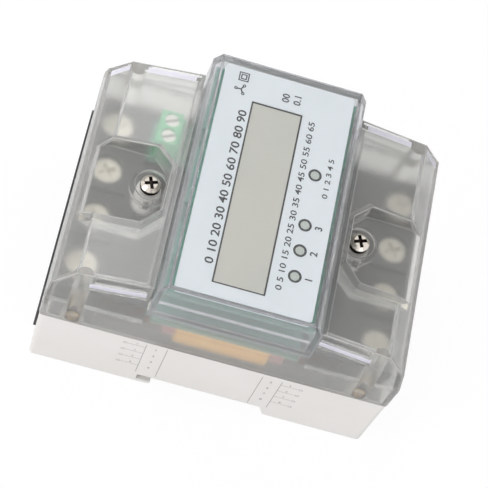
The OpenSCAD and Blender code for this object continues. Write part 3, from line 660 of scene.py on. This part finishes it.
# all in mm, for the right half; the left half is its mirror image
coverShape = {
    "inner": (22.9, 56.25),  # x and z of the wing's inner edge
    "bend": (43.4, 52.8),
    "shoulder": (49.4, 45.0),
    "band": (50.2, 38.5),
    "wingEnd": 33.9,  # y of the wings' end edges
    "shoulderEnd": 34.5,
    "bandEnd": 36.8,
    "shoulderIn": 0.3,  # how far inside the corner the end edges run
    "bandIn": 0.2,
    "pocketMiddle": -3.4,
    "pocketHalf": 12.0,
    "pocketCut": 5.0,
    "pocketInner": 25.9,
    "pocketOuter": 47.05,  # where the floor runs out through the side
    "pocketNarrowing": 0.4,  # on each side, for each mm beyond the bend
    "pocketFloor": 48.3,
    "screw": 30.1,
    "screwRing": 4.4,
    "screwCorners": 48,
    "bead": 0.11,
    "innerBeads": ((0.1, 0.0, 1.0), (1.6, 0.3, 0.7)),  # out and down from the inner edge, share of the bead
    "rimShare": 1.1,
    "floorShare": 0.7,
}


# height of the cover's surface at a distance from the middle, from the straight lines between its edges
def coverHeight(x, facts):
    edges = np.array([facts["inner"], facts["bend"], facts["shoulder"], facts["band"]])
    return np.interp(x, edges[:, 0], edges[:, 1])


# plan outline of a screw pocket: an octagon whose outer part narrows beyond the bend
def pocketOutline(facts):
    half, cut, middle = facts["pocketHalf"], facts["pocketCut"], facts["pocketMiddle"]
    inner, bend, outer = facts["pocketInner"], facts["bend"][0], facts["pocketOuter"]
    narrow = half - facts["pocketNarrowing"] * (outer - bend)
    return np.array(
        [
            (outer, middle - narrow), (bend, middle - half),
            (inner + cut, middle - half), (inner, middle - half + cut),
            (inner, middle + half - cut), (inner + cut, middle + half),
            (bend, middle + half), (outer, middle + narrow),
        ]
    )


# painted highlight beads along the wings' edges, the cover's ends, the pockets' rims and floors, and round the
# screws
def makeCoverEdges(facts):
    edges = Edges()
    bead = facts["bead"]
    (innerX, innerZ), (bendX, bendZ) = facts["inner"], facts["bend"]
    (shoulderX, shoulderZ), (bandX, bandZ) = facts["shoulder"], facts["band"]
    wingEnd, shoulderEnd, bandEnd = facts["wingEnd"], facts["shoulderEnd"], facts["bandEnd"]
    for out, down, share in facts["innerBeads"]:
        x, z = innerX + out, innerZ - down
        edges.pair([(x, -wingEnd, z), (x, wingEnd, z)], bead * share)
    outline = pocketOutline(facts)
    near, far = outline[1][1], outline[6][1]
    edges.pair([(bendX, -wingEnd, bendZ), (bendX, near, bendZ)], bead)
    edges.pair([(bendX, far, bendZ), (bendX, wingEnd, bendZ)], bead)
    edges.pair([(shoulderX, -shoulderEnd, shoulderZ), (shoulderX, shoulderEnd, shoulderZ)], bead)
    for end in (-1, 1):
        path = [
            (innerX, end * wingEnd, innerZ),
            (bendX, end * wingEnd, bendZ),
            (shoulderX - facts["shoulderIn"], end * shoulderEnd, shoulderZ),
            (bandX - facts["bandIn"], end * bandEnd, bandZ),
        ]
        edges.pair(path, bead)
    rim = np.column_stack([outline, coverHeight(outline[:, 0], facts)])
    edges.pair(rim, bead * facts["rimShare"])
    floor = np.column_stack([outline, np.full(len(outline), facts["pocketFloor"])])
    edges.pair(floor, bead * facts["floorShare"], closed=True)
    plan = facts["screwRing"] * circle(facts["screwCorners"]) + (facts["screw"], 0)
    ring = np.column_stack([plan, np.full(len(plan), facts["pocketFloor"])])
    edges.pair(ring, bead * facts["floorShare"], closed=True)
    edges.make("coverEdgeHighlights", finishes["edge"], "clear_cover")


# all in mm, for the right half
windowShape = {
    "flat": (20.1, 65.0),  # x and z of the flat top's edge
    "chamfer": (22.3, 61.1),
    "foot": (22.6, 47.0),
    "topEnd": 36.8,  # y of the end walls at the top and at the foot
    "footEnd": 37.45,
    "inside": 0.12,  # how far the beads lie inside the surface
    "footUp": 0.2,
    "footHalf": 22.3,
    "footShare": 0.8,  # of the bead
    # the fine line is a painted highlight
    "line": 53.3,  # height of the fine line behind the end walls
    "lineIn": 1.9,
    "lineHalf": 21.8,
    "lineShare": 0.35,
    "bead": 0.12,
}


# painted highlight beads along the window's top, chamfer, corners and foot, and a fine painted highlight line
# behind each end wall
def makeWindowEdges(facts):
    edges = Edges()
    bead, inside = facts["bead"], facts["inside"]
    (flatX, flatZ), (chamferX, chamferZ), (footX, footZ) = facts["flat"], facts["chamfer"], facts["foot"]
    topEnd, footEnd = facts["topEnd"], facts["footEnd"]

    # y of the leaning end wall at a height, on the straight line from the top to the foot
    def endAt(height):
        return topEnd + (footEnd - topEnd) * (flatZ - height) / (flatZ - footZ)

    topZ, footUp = flatZ - inside, footZ + facts["footUp"]
    sideX, chamferEnd = chamferX - inside, endAt(chamferZ)
    edges.pair([(flatX, -topEnd, topZ), (flatX, topEnd, topZ)], bead)
    edges.pair([(sideX, -chamferEnd, chamferZ), (sideX, chamferEnd, chamferZ)], bead)
    for end in (-1, 1):
        top, middle, foot = end * (topEnd - inside), end * (chamferEnd - inside), end * (footEnd - inside)
        edges.bead([(-flatX, top, topZ), (flatX, top, topZ)], bead)
        edges.pair([(flatX, top, topZ), (sideX, middle, chamferZ), (footX - inside, foot, footUp)], bead)
        line, height, half = end * (endAt(facts["line"]) - facts["lineIn"]), facts["line"], facts["lineHalf"]
        edges.bead([(-half, line, height), (half, line, height)], bead * facts["lineShare"])
        half = facts["footHalf"]
        edges.bead([(-half, foot, footUp), (half, foot, footUp)], bead * facts["footShare"])
    edges.make("windowEdgeHighlights", finishes["windowEdge"], "clear_window")


# all in mm: painted highlight sheets in the recesses of the near end wall, and painted highlight strips under
# the far end of the wings
grooveHighlightShape = {
    "start": 24.0,  # x where the recess starts
    "length": 15.3,
    "slope": 0.168,  # fall of the recess along the wall
    "low": 48.35,
    "high": 51.25,
    "depth": 0.66,
    "strips": ((25.2, 38.8), (43.7, 48.4)),  # x from and to, on both sides of the post
    "across": (31.5, 33.3),  # y of the strips
    "under": 0.4,  # depth of the strips below the cover's surface
    "steps": 12,
    "stepsAcross": 5,
}


# two triangles for each cell of a grid of points that is stored row by row
def gridTriangles(rows, columns, flip):
    i, j = np.meshgrid(np.arange(rows - 1), np.arange(columns - 1), indexing="ij")
    a = (i * columns + j).ravel()
    d = a + columns
    faces = np.vstack([np.column_stack([a, a + 1, d + 1]), np.column_stack([a, d + 1, d])])
    return faces[:, ::-1] if flip else faces


# both the sheets and the strips are painted highlights
# near end: a sheet on the recess's floor, x along the wall, z between two falling lines, y on the leaning wall
# far end: strips just under the cover's surface, x across, y between two lines, z from the cover's height
def makeGrooves(facts, cover):
    sheets = Gathered()
    steps, stepsAcross = facts["steps"], facts["stepsAcross"]
    share = np.linspace(0, 1, stepsAcross)
    along = np.linspace(0, facts["length"], steps)
    x = np.repeat(facts["start"] + along, stepsAcross)
    z = facts["low"] + (facts["high"] - facts["low"]) * share
    z = (z[None, :] - facts["slope"] * along[:, None]).ravel()
    heights = [cover["shoulder"][1], cover["bend"][1], cover["inner"][1]]
    ends = [cover["shoulderEnd"], cover["wingEnd"], cover["wingEnd"]]
    y = np.interp(z, heights, ends) - facts["depth"]
    for side in (-1, 1):
        sheets.join(np.column_stack([side * x, -y, z]), gridTriangles(steps, stepsAcross, side < 0))
    low, high = facts["across"]
    for start, end in facts["strips"]:
        x = np.repeat(np.linspace(start, end, steps), stepsAcross)
        y = np.tile(low + (high - low) * share, steps)
        z = coverHeight(x, cover) - facts["under"]
        for side in (-1, 1):
            sheets.join(np.column_stack([side * x, y, z]), gridTriangles(steps, stepsAcross, side > 0))
    sheets.make("endRecessHighlights", finishes["groove"], "clear_cover")


makeCoverEdges(coverShape)
makeWindowEdges(windowShape)
makeGrooves(grooveHighlightShape, coverShape)
# the beads and sheets laid here are painted highlights along the moulded edges and in the end walls
print("moulded edges laid on the cover and the window")

# lengths in m
studio = {
    "floorHalf": 3.0,
    "floorDrop": 0.00002,
    "floorColour": screenColour(236, 236, 236),
    "floorRoughness": 0.9,
    "floorGlow": 1.02,  # a strength of 1 is white
    "whiteShare": 0.92,
    "worldStrength": 0.66,
    "lamps": [
        # name, place, size, watts
        ("sheenLamp", (-0.62, 0.82, 1.6), 0.5, 6.5),
        ("keyLamp", (-1.5, -1.0, 0.9), 1.0, 13.5),
        ("fillLamp", (0.9, -1.3, 0.6), 1.0, 2.0),
    ],
}


# 1 for a ray that comes from the camera, from metal or through plastic, and 0 otherwise
def seenRays(tree):
    path = tree.nodes.new("ShaderNodeLightPath")
    total = path.outputs["Is Camera Ray"]
    for ray in ("Is Glossy Ray", "Is Transmission Ray"):
        larger = tree.nodes.new("ShaderNodeMath")
        larger.operation = "MAXIMUM"
        tree.links.new(total, larger.inputs[0])
        tree.links.new(path.outputs[ray], larger.inputs[1])
        total = larger.outputs[0]
    return total


# the given share of the white shader and the rest of the plain one, on the tree's output
def mixWhite(tree, share, plain, white, output):
    mix = tree.nodes.new("ShaderNodeMixShader")
    for i, start in enumerate((share, plain.outputs[0], white.outputs[0])):
        tree.links.new(start, mix.inputs[i])
    tree.links.new(mix.outputs[0], tree.nodes[output].inputs["Surface"])


# a flat square just under the case: a share of it is shown as white, and the rest takes light and shadow
def makeFloor(facts):
    half, drop = facts["floorHalf"], cadLow[2] - facts["floorDrop"]
    corners = [(-half, -half, drop), (half, -half, drop), (half, half, drop), (-half, half, drop)]
    mesh = bpy.data.meshes.new("floor")
    mesh.from_pydata(corners, [], [(0, 1, 2, 3)])
    floor = bpy.data.objects.new("floor", mesh)
    bpy.context.scene.collection.objects.link(floor)
    material = bpy.data.materials.new("paleFloor")
    material.use_nodes = True
    tree = material.node_tree
    shader = tree.nodes["Principled BSDF"]
    shader.inputs["Base Color"].default_value = facts["floorColour"]
    shader.inputs["Roughness"].default_value = facts["floorRoughness"]
    glow = tree.nodes.new("ShaderNodeEmission")
    glow.inputs["Strength"].default_value = facts["floorGlow"]
    share = tree.nodes.new("ShaderNodeMath")
    share.operation = "MULTIPLY"
    share.inputs[1].default_value = facts["whiteShare"]
    tree.links.new(seenRays(tree), share.inputs[0])
    mixWhite(tree, share.outputs[0], shader, glow, "Material Output")
    mesh.materials.append(material)


# even light from all around, shown as white
def makeWorld(facts):
    world = bpy.data.worlds.new("studio")
    bpy.context.scene.world = world
    world.use_nodes = True
    tree = world.node_tree
    plain = tree.nodes["Background"]
    plain.inputs["Color"].default_value = (1, 1, 1, 1)
    plain.inputs["Strength"].default_value = facts["worldStrength"]
    white = tree.nodes.new("ShaderNodeBackground")
    white.inputs["Color"].default_value = (1, 1, 1, 1)
    white.inputs["Strength"].default_value = 1.0
    mixWhite(tree, seenRays(tree), plain, white, "World Output")


# each lamp is a square that faces the middle of the case's back
def makeLamps(facts):
    for name, place, size, watts in facts["lamps"]:
        data = bpy.data.lights.new(name, "AREA")
        data.size = size
        data.energy = watts
        lamp = bpy.data.objects.new(name, data)
        lamp.location = place
        lamp.rotation_euler = (-Vector(place)).to_track_quat("-Z", "Y").to_euler()
        bpy.context.scene.collection.objects.link(lamp)


makeFloor(studio)
makeWorld(studio)
makeLamps(studio)
print("floor, world and lamps made")
